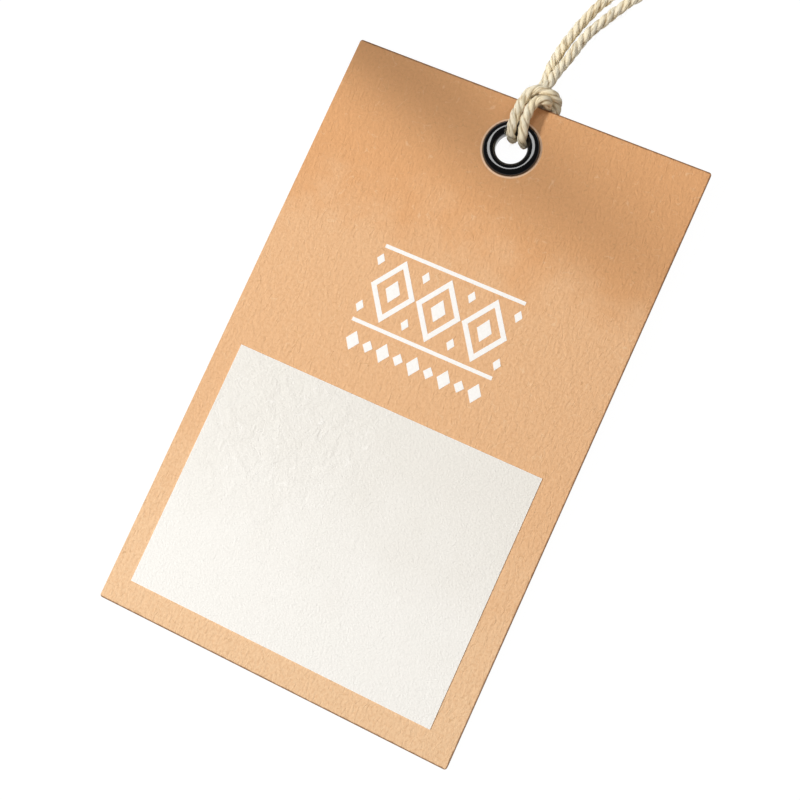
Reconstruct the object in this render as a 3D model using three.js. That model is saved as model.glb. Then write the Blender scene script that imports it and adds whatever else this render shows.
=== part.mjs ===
// A kraft paper tag: a die-cut card, a writing label glued to it, a black eyelet and a string of twine.
// Millimetres. The origin is the middle of the card's back face, +Y points along the card to the
// eyelet and +Z out of the printed face. The string's places are measured from the middle of the
// card's top edge, at its back. The twine behind the eyelet props that end up a little, so the table
// is a plane that falls away slowly along +Y, from the card's lower back edge.

import * as THREE from 'three';

// The card
const CARD_WIDTH = 55;
const CARD_LENGTH = 90;
const CARD_THICKNESS = 0.8;
const CARD_CORNER_RADIUS = 0.4;

// The writing label, placed from the card's edges
const LABEL_THICKNESS = 0.12;
const LABEL_LENGTH = 37.4;
const LABEL_LEFT_MARGIN = 3.3;
const LABEL_RIGHT_MARGIN = 4.2;
const LABEL_BOTTOM_MARGIN = 3.95;

// The eyelet: one sheet-metal piece, with a domed flange in front and a rolled rim behind
const EYELET_BORE_RADIUS = 2.3;
const EYELET_WALL = 0.3;
const EYELET_FLANGE_RADIUS = 4.2;
const EYELET_FLANGE_RISE = 0.75;
const EYELET_ROLL_RADIUS = 3.2;
const EYELET_ROLL_RISE = 0.6;
const EYELET_HOLE_CLEARANCE = 0.15;
const EYELET_FROM_TOP = 7.1;

// The twine, with the gap left between a knot and the strand that it ends
const TWINE_DIAMETER = 1.3;
const KNOT_GAP = 0.3;

// The hitch props the card up by this much, at its lowest place beyond the card's top edge
const PROP_HEIGHT = 2.4;
const PROP_BEYOND_TOP = 2;

// The hank: where the pair of strands enters it, and its runs, which are drawn in at the waist
const HANK_ENTRY_X = 9;
const HANK_ENTRY_Y = 27.3;
const HANK_RUNS = 3;
const HANK_RUN_LENGTH = 21;
const HANK_PITCH_AT_FOLDS = 7.7;
const HANK_PITCH_AT_WAIST = 3.75;
const HANK_STRAND_SPACING = 1.84;

// The thread wound round the hank's waist
const THREAD_DIAMETER = 0.5;
const THREAD_TURNS = 3;
const THREAD_PITCH = 0.95;
const THREAD_CLEARANCE = 0.3;

// Facets and steps
const EYELET_SIDES = 48;
const FOLD_STEPS = 9;
const TWINE_SIDES = 8;
const WOUND_SIDES = 6;
const HANK_RUN_STEPS = 8;
const THREAD_TURN_STEPS = 24;
const HITCH_STEPS = 80;
const TAIL_STEPS = 14;
const KNOT_STEPS = 44;

// What follows from the sizes above
const TWINE_RADIUS = TWINE_DIAMETER / 2;
const THREAD_RADIUS = THREAD_DIAMETER / 2;
const EYELET_Y = CARD_LENGTH / 2 - EYELET_FROM_TOP;
const TABLE_FALL = PROP_HEIGHT / (CARD_LENGTH + PROP_BEYOND_TOP);
const HANK_NEAR_Y = HANK_ENTRY_Y + TWINE_DIAMETER;
const HANK_FAR_Y = HANK_NEAR_Y + HANK_RUN_LENGTH;
const HANK_WAIST_Y = (HANK_NEAR_Y + HANK_FAR_Y) / 2;
const HANK_MIDDLE_X = HANK_ENTRY_X - (HANK_PITCH_AT_FOLDS * (HANK_RUNS - 1)) / 2;
const HANK_WAIST_LIFT = THREAD_DIAMETER + 2 * THREAD_CLEARANCE;

// Materials
const kraft = new THREE.MeshStandardMaterial({ color: 0xd9a877, roughness: 0.9, metalness: 0 });
const labelPaper = new THREE.MeshStandardMaterial({ color: 0xf6f3ec, roughness: 0.85, metalness: 0 });
const blackEnamel = new THREE.MeshStandardMaterial({ color: 0x0b0b0c, roughness: 0.15, metalness: 0.6 });
const twine = new THREE.MeshStandardMaterial({ color: 0xdfcfab, roughness: 0.95, metalness: 0 });
const thread = new THREE.MeshStandardMaterial({ color: 0xcdb98f, roughness: 0.9, metalness: 0 });

// Height of the table under a place that is y beyond the card's top edge
function tableHeight(y) {
  return -TABLE_FALL * (CARD_LENGTH + y);
}

// The middle of a strand of twine that lies on the table, or is lifted off it
function onTable(x, y, lift = 0) {
  return new THREE.Vector3(x, y, tableHeight(y) + TWINE_RADIUS + lift);
}

// The corners of a regular polygon
function polygon(radius, sides, turn = 0) {
  return Array.from({ length: sides }, (_, i) => {
    const angle = turn + (2 * Math.PI * i) / sides;
    return new THREE.Vector2(radius * Math.cos(angle), radius * Math.sin(angle));
  });
}

// The card: a rectangle with eased corners and the eyelet's hole, as thick as the board
function cardGeometry() {
  const w = CARD_WIDTH / 2 - CARD_CORNER_RADIUS;
  const l = CARD_LENGTH / 2 - CARD_CORNER_RADIUS;
  const quarter = Math.PI / 2;
  const outline = new THREE.Shape();
  outline.absarc(w, l, CARD_CORNER_RADIUS, 0, quarter);
  outline.absarc(-w, l, CARD_CORNER_RADIUS, quarter, 2 * quarter);
  outline.absarc(-w, -l, CARD_CORNER_RADIUS, 2 * quarter, 3 * quarter);
  outline.absarc(w, -l, CARD_CORNER_RADIUS, 3 * quarter, 4 * quarter);
  const holeRadius = EYELET_BORE_RADIUS + EYELET_WALL + EYELET_HOLE_CLEARANCE;
  const hole = polygon(holeRadius, EYELET_SIDES).map((p) => new THREE.Vector2(p.x, p.y + EYELET_Y));
  outline.holes.push(new THREE.Path().setFromPoints(hole));
  return new THREE.ExtrudeGeometry(outline, { depth: CARD_THICKNESS, curveSegments: 6, bevelEnabled: false });
}

// The label: a rectangle of paper that lies on the card
function labelGeometry() {
  const width = CARD_WIDTH - LABEL_LEFT_MARGIN - LABEL_RIGHT_MARGIN;
  const geometry = new THREE.BoxGeometry(width, LABEL_LENGTH, LABEL_THICKNESS);
  const x = (LABEL_LEFT_MARGIN - LABEL_RIGHT_MARGIN) / 2;
  const y = -CARD_LENGTH / 2 + LABEL_BOTTOM_MARGIN + LABEL_LENGTH / 2;
  return geometry.translate(x, y, CARD_THICKNESS + LABEL_THICKNESS / 2);
}

// One skin of a half-elliptical fold of the eyelet's sheet, from its rim over its crest to the barrel.
// The fold stands on `face` and rises by `rise`; `skin` is +1 for the outside and -1 for the inside.
function foldSkin(rimRadius, face, rise, skin) {
  const barrel = EYELET_BORE_RADIUS + EYELET_WALL / 2;
  const across = (rimRadius - EYELET_WALL / 2 - barrel) / 2;
  const up = rise - (Math.sign(rise) * EYELET_WALL) / 2;
  return Array.from({ length: FOLD_STEPS + 1 }, (_, i) => {
    const angle = (Math.PI * i) / FOLD_STEPS;
    const middle = new THREE.Vector2(barrel + across + across * Math.cos(angle), face + up * Math.sin(angle));
    const outwards = new THREE.Vector2(Math.cos(angle) / across, Math.sin(angle) / up).normalize();
    return middle.addScaledVector(outwards, (skin * EYELET_WALL) / 2);
  });
}

// The eyelet: the flange's fold, the barrel and the rolled rim, as one sheet of even thickness
function eyeletGeometry() {
  const flange = (skin) => foldSkin(EYELET_FLANGE_RADIUS, CARD_THICKNESS, EYELET_FLANGE_RISE, skin);
  const roll = (skin) => foldSkin(EYELET_ROLL_RADIUS, 0, -EYELET_ROLL_RISE, skin);
  const profile = [...flange(1), ...roll(1).reverse(), ...roll(-1), ...flange(-1).reverse()];
  profile.push(profile[0].clone());
  const geometry = new THREE.LatheGeometry(profile, EYELET_SIDES);
  return geometry.rotateX(Math.PI / 2).translate(0, EYELET_Y, 0);
}

// The hitch. The strand comes from the left tail, goes behind the card and up through the eyelet,
// over both tails, round the card's top edge, through the eyelet again, over the tails once more,
// and turns round the left tail from below to become the right tail.
const HITCH_ROUTE = [
  [0.12, 4.05, -0.75],
  [0.16, 3.0, -0.45],
  [0.16, 2.0, -0.2],
  [0.1, 1.15, -0.28],
  [-0.08, 0.1, -0.74],
  [-0.3, -2.4, -0.95],
  [-0.5, -3.6, -1.22],
  [-0.6, -4.4, -1.32],
  [-0.66, -5.05, -1.1],
  [-0.7, -5.5, -0.6],
  [-0.72, -5.64, 0.2],
  [-0.74, -5.6, 1.1],
  [-0.82, -5.2, 1.85],
  [-0.98, -4.3, 2.25],
  [-1.12, -3.3, 2.32],
  [-1.2, -2.1, 2.33],
  [-1.16, -1.0, 2.34],
  [-1.0, 0.0, 2.36],
  [-0.64, 1.02, 2.36],
  [0.27, 1.8, 2.33],
  [1.4, 2.02, 2.2],
  [2.3, 2.04, 1.9],
  [2.92, 1.95, 1.35],
  [3.25, 1.72, 0.7],
  [3.52, 1.2, -0.05],
  [3.52, 0.48, -0.68],
  [3.2, -0.6, -0.9],
  [2.45, -2.3, -1.0],
  [1.75, -3.6, -1.2],
  [1.3, -4.6, -1.32],
  [1.15, -5.25, -1.1],
  [1.1, -5.75, -0.6],
  [1.08, -5.9, 0.2],
  [1.08, -5.86, 1.0],
  [0.98, -5.35, 1.85],
  [0.75, -4.4, 2.28],
  [0.48, -3.3, 2.38],
  [0.4, -2.2, 2.45],
  [0.48, -0.9, 2.55],
  [0.85, 0.05, 2.65],
  [1.45, 0.52, 2.7],
  [2.02, 0.68, 2.45],
  [2.33, 0.72, 1.8],
  [2.32, 0.72, 0.8],
  [2.2, 0.82, 0.0],
  [2.0, 1.12, -0.85],
  [1.45, 1.4, -1.42],
  [0.6, 1.45, -1.62],
  [-0.4, 1.5, -1.5],
  [-1.1, 1.55, -0.8],
  [-1.17, 1.65, 0.2],
  [-0.6, 1.9, 0.97],
  [0.2, 2.35, 1.13],
  [0.8, 3.0, 0.95],
  [1.12, 3.8, 0.6],
  [1.17, 4.9, 0.25],
];

// The two tails, from the hitch down to the table and along it to the hank
const LEFT_TAIL_ROUTE = [
  [0.11, 4.34, -0.83],
  [0.0, 6.5, -1.2],
  [0.08, 9.2, -1.5],
  [0.6, 12.15, -1.78],
  onTable(1.3, 15.1, 0.04),
  onTable(2.38, 18.25),
  onTable(4.1, 21.3),
  onTable(6.3, 23.7),
  onTable(7.75, 25.6),
  onTable(8.08, 27.0),
];
const RIGHT_TAIL_ROUTE = [
  [1.19, 5.19, 0.16],
  [1.42, 6.7, -0.25],
  [1.76, 8.2, -0.6],
  [2.26, 11.15, -1.2],
  [3.14, 14.3, -1.7],
  onTable(4.7, 17.6, 0.04),
  onTable(6.65, 21.0),
  onTable(8.7, 23.6),
  onTable(9.75, 25.6),
  onTable(9.92, 27.0),
];

// An overhand knot in the end of one strand: along the strand, out to its side and up
const KNOT_ROUTE = [
  [0.0, 0.0, 0.0],
  [1.4, 0.1, 0.0],
  [3.3, 1.7, 0.0],
  [4.5, 2.25, 0.0],
  [5.6, 2.3, 0.0],
  [6.9, 2.3, 0.7],
  [8.3, 2.35, 1.55],
  [9.7, 2.6, 1.2],
  [10.7, 3.6, 0.4],
  [10.9, 4.9, 0.0],
  [9.9, 6.1, 0.0],
  [8.2, 6.5, 0.1],
  [6.5, 5.8, 0.8],
  [5.6, 4.2, 1.45],
  [5.4, 2.3, 1.6],
  [6.1, 0.75, 1.0],
  [7.4, 0.4, 0.15],
  [8.4, 1.5, 0.0],
  [8.6, 2.9, 0.03],
  [9.2, 4.2, 0.85],
  [10.7, 5.0, 1.6],
  [12.2, 4.7, 1.0],
  [13.4, 3.9, 0.2],
  [14.8, 3.4, 0.0],
];

// How far apart the hank's runs lie at a place along them
function hankPitch(y) {
  const fromWaist = (y - HANK_WAIST_Y) / (HANK_RUN_LENGTH / 2);
  const drawnIn = (1 + Math.cos(Math.PI * fromWaist)) / 2;
  return HANK_PITCH_AT_FOLDS - (HANK_PITCH_AT_FOLDS - HANK_PITCH_AT_WAIST) * drawnIn;
}

// The middle line of the pair of strands: runs side by side, joined by a half-circle fold at an end
function hankLine() {
  const foldRadius = HANK_PITCH_AT_FOLDS / 2;
  const points = [new THREE.Vector2(HANK_ENTRY_X, HANK_ENTRY_Y)];
  for (let run = 0; run < HANK_RUNS; run++) {
    const outward = run % 2 === 0;
    const place = (HANK_RUNS - 1) / 2 - run;
    for (let i = 0; i <= HANK_RUN_STEPS; i++) {
      const along = outward ? i / HANK_RUN_STEPS : 1 - i / HANK_RUN_STEPS;
      const y = HANK_NEAR_Y + HANK_RUN_LENGTH * along;
      points.push(new THREE.Vector2(HANK_MIDDLE_X + place * hankPitch(y), y));
    }
    const foldX = HANK_MIDDLE_X + (place - 0.5) * HANK_PITCH_AT_FOLDS;
    for (let i = 1; i < HANK_RUN_STEPS && run < HANK_RUNS - 1; i++) {
      const angle = (Math.PI * i) / HANK_RUN_STEPS;
      const bulge = foldRadius * Math.sin(angle);
      const y = outward ? HANK_FAR_Y + bulge : HANK_NEAR_Y - bulge;
      points.push(new THREE.Vector2(foldX + foldRadius * Math.cos(angle), y));
    }
  }
  const end = points[points.length - 1];
  points.push(new THREE.Vector2(end.x, end.y + TWINE_DIAMETER));
  return points;
}

// One strand of the pair, on the left (+1) or the right (-1) of its middle line
function hankStrand(side) {
  const line = hankLine();
  return line.map((point, i) => {
    const before = line[Math.max(i - 1, 0)];
    const after = line[Math.min(i + 1, line.length - 1)];
    const way = after.clone().sub(before).normalize();
    const offset = (side * HANK_STRAND_SPACING) / 2;
    const x = point.x - way.y * offset;
    const y = point.y + way.x * offset;
    const inRun = y > HANK_NEAR_Y && y < HANK_FAR_Y;
    const drawnIn = (HANK_PITCH_AT_FOLDS - hankPitch(y)) / (HANK_PITCH_AT_FOLDS - HANK_PITCH_AT_WAIST);
    return onTable(x, y, inRun ? HANK_WAIST_LIFT * drawnIn : 0);
  });
}

// The knot's points, past the end of its strand of the hank
function knotRoute(side) {
  const end = hankStrand(side).at(-1);
  return KNOT_ROUTE.map(([along, out, up]) => onTable(end.x - side * out, end.y + KNOT_GAP + along, up));
}

// A place on a flat loop with round ends, as far along it as `share` of one turn
function flatLoop(share, halfFlat, radius) {
  const flat = 2 * halfFlat;
  const halfTurn = flat + Math.PI * radius;
  const along = (share % 1) * 2 * halfTurn;
  const returning = along >= halfTurn;
  const past = returning ? along - halfTurn : along;
  const angle = Math.max(past - flat, 0) / radius;
  const x = halfFlat - Math.min(past, flat) - radius * Math.sin(angle);
  const z = radius * Math.cos(angle);
  return returning ? [-x, -z] : [x, z];
}

// The thread's turns round the hank's waist, each a pitch further along it
function threadRoute() {
  const halfFlat = (HANK_PITCH_AT_WAIST * (HANK_RUNS - 1) + HANK_STRAND_SPACING) / 2;
  const radius = TWINE_RADIUS + THREAD_CLEARANCE + THREAD_RADIUS;
  return Array.from({ length: THREAD_TURNS * THREAD_TURN_STEPS + 1 }, (_, i) => {
    const turn = i / THREAD_TURN_STEPS;
    const [x, z] = flatLoop(turn, halfFlat, radius);
    const y = HANK_WAIST_Y + (turn - THREAD_TURNS / 2) * THREAD_PITCH;
    return onTable(HANK_MIDDLE_X + x, y, HANK_WAIST_LIFT + z);
  });
}

// A smooth curve through points
function through(points) {
  return new THREE.CatmullRomCurve3(points.map((p) => (p.isVector3 ? p : new THREE.Vector3(...p))));
}

// A round tube along a curve
function tube(curve, radius, sides, steps) {
  const section = new THREE.Shape(polygon(radius, sides, Math.PI / sides));
  return new THREE.ExtrudeGeometry(section, { steps, extrudePath: curve, bevelEnabled: false });
}

// The least gap that a wound tube leaves to itself, measured on points along its middle line
function leastGap(curve, radius) {
  const step = radius / 2;
  const points = curve.getSpacedPoints(Math.ceil(curve.getLength() / step));
  const apart = Math.ceil((3 * Math.PI * radius) / step);
  let least = Infinity;
  for (let i = 0; i < points.length; i++) {
    for (let j = i + apart; j < points.length; j++) {
      least = Math.min(least, points[i].distanceTo(points[j]));
    }
  }
  return least - 2 * radius;
}

function piece(name, geometry, material) {
  const mesh = new THREE.Mesh(geometry, material);
  mesh.name = name;
  return mesh;
}

// A stretch of twine along hand-chosen points
function twinePiece(name, points, steps) {
  return piece(name, tube(through(points), TWINE_RADIUS, TWINE_SIDES, steps), twine);
}

// A wound tube with two steps to each of its points. Its least gap to itself is printed.
function woundPiece(name, points, radius, material) {
  const curve = through(points);
  console.log(`${name}: least gap to itself ${leastGap(curve, radius).toFixed(2)} mm`);
  return piece(name, tube(curve, radius, WOUND_SIDES, 2 * points.length), material);
}

const tag = new THREE.Group();
tag.add(
  piece('kraft_card', cardGeometry(), kraft),
  piece('writing_label', labelGeometry(), labelPaper),
  piece('eyelet', eyeletGeometry(), blackEnamel),
);

const string = new THREE.Group();
string.position.y = CARD_LENGTH / 2;
string.add(
  twinePiece('twine_hitch', HITCH_ROUTE, HITCH_STEPS),
  twinePiece('twine_tail_left', LEFT_TAIL_ROUTE, TAIL_STEPS),
  twinePiece('twine_tail_right', RIGHT_TAIL_ROUTE, TAIL_STEPS),
  woundPiece('twine_hank_left', hankStrand(1), TWINE_RADIUS, twine),
  woundPiece('twine_hank_right', hankStrand(-1), TWINE_RADIUS, twine),
  twinePiece('twine_knot_left', knotRoute(1), KNOT_STEPS),
  twinePiece('twine_knot_right', knotRoute(-1), KNOT_STEPS),
  woundPiece('hank_tie_thread', threadRoute(), THREAD_RADIUS, thread),
);
tag.add(string);

export default tag;
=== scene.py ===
"""A kraft paper tag with its label, black eyelet and looped twine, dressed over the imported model."""

import math
import random

import bmesh
import bpy
from mathutils import Matrix, Quaternion, Vector, noise


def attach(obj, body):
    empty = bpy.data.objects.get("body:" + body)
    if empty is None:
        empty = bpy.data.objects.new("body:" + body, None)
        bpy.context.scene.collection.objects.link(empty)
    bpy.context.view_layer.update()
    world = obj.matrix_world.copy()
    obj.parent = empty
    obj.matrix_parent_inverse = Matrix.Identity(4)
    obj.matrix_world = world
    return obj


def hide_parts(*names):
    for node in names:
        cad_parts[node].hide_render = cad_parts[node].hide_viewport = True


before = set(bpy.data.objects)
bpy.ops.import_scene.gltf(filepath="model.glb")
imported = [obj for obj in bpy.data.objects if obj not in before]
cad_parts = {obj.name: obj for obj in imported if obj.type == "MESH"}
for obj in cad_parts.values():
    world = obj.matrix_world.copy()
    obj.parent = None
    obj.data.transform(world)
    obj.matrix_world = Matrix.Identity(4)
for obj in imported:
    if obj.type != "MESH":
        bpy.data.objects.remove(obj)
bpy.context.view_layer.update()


# The card: kraft board 0.8 mm thick, pressed from recycled pulp, so it shows short fibres and the odd
# dark speck. Its colour is painted paler toward its foot and deeper toward its top, painted light and
# shade in two steps that a slow mottle makes uneven. A steel rule cuts it out, and the colour is darker
# in a thin band along its edges, least so on the left. The eyelet's flange presses a dip into its face,
# and a pale ring of painted highlight is laid round the flange.
MM = 0.001
CARD_HALF_WIDTH = 27.5
CARD_HALF_LENGTH = 45.0
CARD_THICKNESS = 0.8
CARD_EDGE_BAND = 0.26
CLEAN_LEFT = 0.13
EYELET_Y = 37.9
FLANGE_RADIUS = 4.2
RIM_HIGHLIGHT_WIDTH = 0.32


def node(tree, kind, inputs=None, **settings):
    """Adds a shader node, sets its properties, and fills its sockets with values or links."""
    made = tree.nodes.new("ShaderNode" + kind)
    for name, value in settings.items():
        setattr(made, name, value)
    for socket, value in (inputs or {}).items():
        if isinstance(value, bpy.types.NodeSocket):
            tree.links.new(value, made.inputs[socket])
        else:
            made.inputs[socket].default_value = value
    return made


def sum_of(tree, first, second, operation="ADD"):
    return node(tree, "Math", {0: first, 1: second}, operation=operation).outputs[0]


def product(tree, first, second):
    return sum_of(tree, first, second, "MULTIPLY")


def size_of(tree, value):
    """A value without its sign."""
    return node(tree, "Math", {0: value}, operation="ABSOLUTE").outputs[0]


def speckle(tree, place, scale, detail=2.0, roughness=0.5, distortion=0.0):
    """A smooth random pattern that runs from 0 to 1 about a half."""
    inputs = {"Vector": place, "Scale": scale, "Detail": detail, "Roughness": roughness}
    return node(tree, "TexNoise", {**inputs, "Distortion": distortion}).outputs[0]


def swung(tree, place, rotation, scale=(1.0, 1.0, 1.0)):
    """The same places, turned and stretched, so that a pattern comes out differently."""
    return node(tree, "Mapping", {0: place, "Rotation": rotation, "Scale": scale}).outputs[0]


def fade(tree, value, start, end, low=0.0, high=1.0):
    """Turns value smoothly from low at start to high at end."""
    inputs = {"Value": value, "From Min": start, "From Max": end, "To Min": low, "To Max": high}
    return node(tree, "MapRange", inputs, interpolation_type="SMOOTHSTEP").outputs[0]


def tint(tree, factor, first, second):
    """Goes from the first colour to the second by factor."""
    inputs = {"Factor": factor, 6: first, 7: second}
    return node(tree, "Mix", inputs, data_type="RGBA").outputs[2]


def effect(name, inputs):
    """Starts a node group, and gives it with the sockets of its inputs and of its one mask."""
    tree = bpy.data.node_groups.new(name, "ShaderNodeTree")
    for label, value in inputs.items():
        kind = "NodeSocketVector" if value is None else "NodeSocketFloat"
        socket = tree.interface.new_socket(label, in_out="INPUT", socket_type=kind)
        if value is not None:
            socket.default_value = value
    tree.interface.new_socket("Mask", in_out="OUTPUT", socket_type="NodeSocketFloat")
    given = tree.nodes.new("NodeGroupInput").outputs
    return tree, given, tree.nodes.new("NodeGroupOutput").inputs["Mask"]


def place_effect(tree, group, **inputs):
    made = node(tree, "Group", node_tree=group)
    for label, value in inputs.items():
        socket = made.inputs[label.replace("_", " ")]
        if isinstance(value, bpy.types.NodeSocket):
            tree.links.new(value, socket)
        else:
            socket.default_value = value
    return made.outputs[0]


def material(name):
    """Starts a material, and gives it with its tree and its Principled BSDF."""
    made = bpy.data.materials.new(name)
    made.use_nodes = True
    return made, made.node_tree, made.node_tree.nodes["Principled BSDF"]


def in_millimetres(tree):
    place = node(tree, "TexCoord").outputs["Object"]
    return node(tree, "VectorMath", {0: place, "Scale": 1 / MM}, operation="SCALE").outputs[0]


def dress(obj, finish):
    """Gives a CAD node or a piece one material all over."""
    obj.data.materials.clear()
    obj.data.materials.append(finish)


# Short curled lines where a noise crosses its middle value, kept only in patches.
fibres, given, mask = effect("paper fibres", {"Place": None, "Density": 1.0, "Width": 0.03, "Share": 0.5})
dense = {0: given["Place"], "Scale": given["Density"]}
scaled = node(fibres, "VectorMath", dense, operation="SCALE").outputs[0]
strands = speckle(fibres, scaled, 1.0, 0.0, distortion=0.5)
line = fade(fibres, size_of(fibres, sum_of(fibres, strands, -0.5)), given["Width"], 0.0)
patchy = {"Vector": scaled, "Scale": 1.9, "Detail": 0.0, "W": 3.0}
patches = node(fibres, "TexNoise", patchy, noise_dimensions="4D")
threshold = sum_of(fibres, 0.72, product(fibres, given["Share"], 0.4), "SUBTRACT")
present = fade(fibres, patches.outputs[0], threshold, sum_of(fibres, threshold, 0.06))
fibres.links.new(product(fibres, line, present), mask)

# Small round flecks in a few cells of a Voronoi pattern.
specks, given, mask = effect("specks", {"Place": None, "Density": 0.3, "Radius": 0.1, "Share": 0.2})
cells = node(specks, "TexVoronoi", {"Vector": given["Place"], "Scale": given["Density"]})
reach = product(specks, given["Radius"], given["Density"])
fleck = fade(specks, cells.outputs["Distance"], reach, product(specks, reach, 0.5))
lot = node(specks, "SeparateColor", {0: cells.outputs["Color"]}).outputs[0]
chosen = sum_of(specks, lot, given["Share"], "LESS_THAN")
specks.links.new(product(specks, fleck, chosen), mask)

# The band along the edges of a sheet, a little uneven in width.
cut_edge, given, mask = effect(
    "cut edge", {"Place": None, "Half Width": 10.0, "Half Length": 10.0, "Band": 0.2}
)
across, along, _ = node(cut_edge, "SeparateXYZ", {0: given["Place"]}).outputs
to_side = sum_of(cut_edge, given["Half Width"], size_of(cut_edge, across), "SUBTRACT")
to_end = sum_of(cut_edge, given["Half Length"], size_of(cut_edge, along), "SUBTRACT")
inside = sum_of(cut_edge, to_side, to_end, "MINIMUM")
wander = speckle(cut_edge, given["Place"], 1.3)
band = product(cut_edge, given["Band"], sum_of(cut_edge, wander, 0.5))
cut_edge.links.new(fade(cut_edge, inside, band, product(cut_edge, band, 0.3)), mask)

kraft, tree, shader = material("kraft board")
place = in_millimetres(tree)
mottle = speckle(tree, place, 0.16, 3.0, 0.6)
grain = speckle(tree, place, 2.4, 3.0, 0.65)
wrinkles = speckle(tree, swung(tree, place, (0.0, 0.0, -0.1), (1.5, 0.7, 1.0)), 1.0, distortion=1.2)
pale_fibres = place_effect(tree, fibres, Place=place, Density=0.7, Width=0.02, Share=0.6)
elsewhere = swung(tree, place, (0.3, 0.2, 1.9), (1.0, 1.2, 1.0))
dark_fibres = place_effect(tree, fibres, Place=elsewhere, Density=0.6, Width=0.014, Share=0.45)
flecks = place_effect(tree, specks, Place=place, Density=0.17, Radius=0.16, Share=0.16)
off_left = node(tree, "VectorMath", {0: place, 1: (CLEAN_LEFT, 0.0, 0.0)}, operation="ADD").outputs[0]
edge_band = place_effect(
    tree, cut_edge, Place=off_left, Band=CARD_EDGE_BAND,
    Half_Width=CARD_HALF_WIDTH + CLEAN_LEFT, Half_Length=CARD_HALF_LENGTH,
)
# Painted light and shade: the board is painted palest at the card's foot and deepest round the eyelet,
# in two steps whose edges a slow mottle makes uneven
_, along, _ = node(tree, "SeparateXYZ", {0: place}).outputs
up_card = sum_of(tree, along, product(tree, mottle, 24.0))
upper_painted_light = fade(tree, up_card, 42.0, 27.0, 0.0, 0.5)
lower_painted_light = fade(tree, up_card, 8.0, -30.0, 0.0, 0.5)
painted_light = sum_of(tree, upper_painted_light, lower_painted_light)
colour = tint(tree, painted_light, (0.74, 0.395, 0.185, 1), (0.83, 0.565, 0.345, 1))
colour = tint(tree, fade(tree, grain, 0.4, 0.68, 0.0, 0.3), colour, (0.60, 0.31, 0.14, 1))
colour = tint(tree, product(tree, pale_fibres, 0.25), colour, (0.92, 0.70, 0.46, 1))
colour = tint(tree, product(tree, dark_fibres, 0.4), colour, (0.50, 0.28, 0.12, 1))
colour = tint(tree, product(tree, flecks, 0.7), colour, (0.22, 0.10, 0.04, 1))
eyelet_middle = (0.0, EYELET_Y, 0.0)
from_eyelet = node(tree, "VectorMath", {0: place, 1: eyelet_middle}, operation="SUBTRACT").outputs[0]
flat = node(tree, "VectorMath", {0: from_eyelet, 1: (1.0, 1.0, 0.0)}, operation="MULTIPLY").outputs[0]
radius = node(tree, "VectorMath", {0: flat}, operation="LENGTH").outputs["Value"]
# A pale ring of painted highlight on the board just round the eyelet's flange
painted_rim_highlight = product(
    tree,
    fade(tree, radius, FLANGE_RADIUS - 0.1, FLANGE_RADIUS),
    fade(tree, radius, FLANGE_RADIUS + RIM_HIGHLIGHT_WIDTH, FLANGE_RADIUS + RIM_HIGHLIGHT_WIDTH - 0.12),
)
colour = tint(tree, product(tree, painted_rim_highlight, 0.8), colour, (0.97, 0.70, 0.50, 1))
# Darker in a thin band along the card's edges, least so on the left
colour = tint(tree, product(tree, edge_band, 0.85), colour, (0.15, 0.065, 0.028, 1))
tree.links.new(colour, shader.inputs["Base Color"])
shader.inputs["Roughness"].default_value = 0.72
shader.inputs["Specular IOR Level"].default_value = 0.3
dip = fade(tree, radius, FLANGE_RADIUS - 0.2, FLANGE_RADIUS + 0.6, 0.0, 4.0)
relief = sum_of(tree, product(tree, grain, 1.6), product(tree, pale_fibres, 0.4))
relief = sum_of(tree, relief, product(tree, wrinkles, 7.0))
relief = sum_of(tree, relief, product(tree, dark_fibres, -0.5))
relief = sum_of(tree, relief, dip)
bump = node(tree, "Bump", {"Height": relief, "Distance": 0.00002, "Strength": 1.0})
tree.links.new(bump.outputs[0], shader.inputs["Normal"])
dress(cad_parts["kraft_card"], kraft)


# The print above the label: a plain ornament of lozenges in opaque white ink, screen-printed on the
# board, so it stands a hair proud, takes the board's grain and leaves a few pinholes.
INK_RISE = 0.03
PRINT_MIDDLE = Vector((0.2, 9.9))
RULE_HALF_LENGTH = 11.0
RULE_HALF_WIDTH = 0.28
UPPER_RULE_Y = 8.0
LOWER_RULE_Y = -3.6
LOZENGE_PITCH = 7.2
LOZENGE_Y = 2.2
LOZENGE_HALVES = (3.5, 4.9)
LOZENGE_STROKE = 0.75
HEART_HALVES = (1.15, 1.75)
BETWEEN_HALVES = (0.62, 0.95)
BETWEEN_RISE = 3.7
EDGING_PITCH = 2.4
EDGING_Y = -6.5
EDGING_SMALL_HALVES = (0.8, 0.95)
EDGING_LARGE_HALVES = (1.05, 1.5)


def print_lozenge(bm, x, y, halves, stroke=None):
    """A solid lozenge, or its outline where a stroke is given, as flat faces."""
    made = bmesh.ops.create_circle(bm, cap_ends=True, segments=4, radius=1.0)
    corners = made["verts"]
    bmesh.ops.scale(bm, verts=corners, vec=(*halves, 1.0))
    bmesh.ops.translate(bm, verts=corners, vec=(x, y, 0.0))
    if stroke:
        face = corners[0].link_faces[0]
        bmesh.ops.inset_region(
            bm, faces=[face], thickness=stroke, use_even_offset=True, use_boundary=True
        )
        bmesh.ops.delete(bm, geom=[face], context="FACES")


def print_rule(bm, y):
    made = bmesh.ops.create_grid(bm, x_segments=1, y_segments=1, size=1.0)
    bmesh.ops.scale(bm, verts=made["verts"], vec=(RULE_HALF_LENGTH, RULE_HALF_WIDTH, 1.0))
    bmesh.ops.translate(bm, verts=made["verts"], vec=(0.0, y, 0.0))


def finished(bm, name, scale=MM):
    """Turns a bmesh, in millimetres unless a scale is given, into an object in the scene."""
    bmesh.ops.scale(bm, verts=bm.verts, vec=(scale, scale, scale))
    mesh = bpy.data.meshes.new(name)
    bm.to_mesh(mesh)
    bm.free()
    made = bpy.data.objects.new(name, mesh)
    bpy.context.scene.collection.objects.link(made)
    return made


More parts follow.
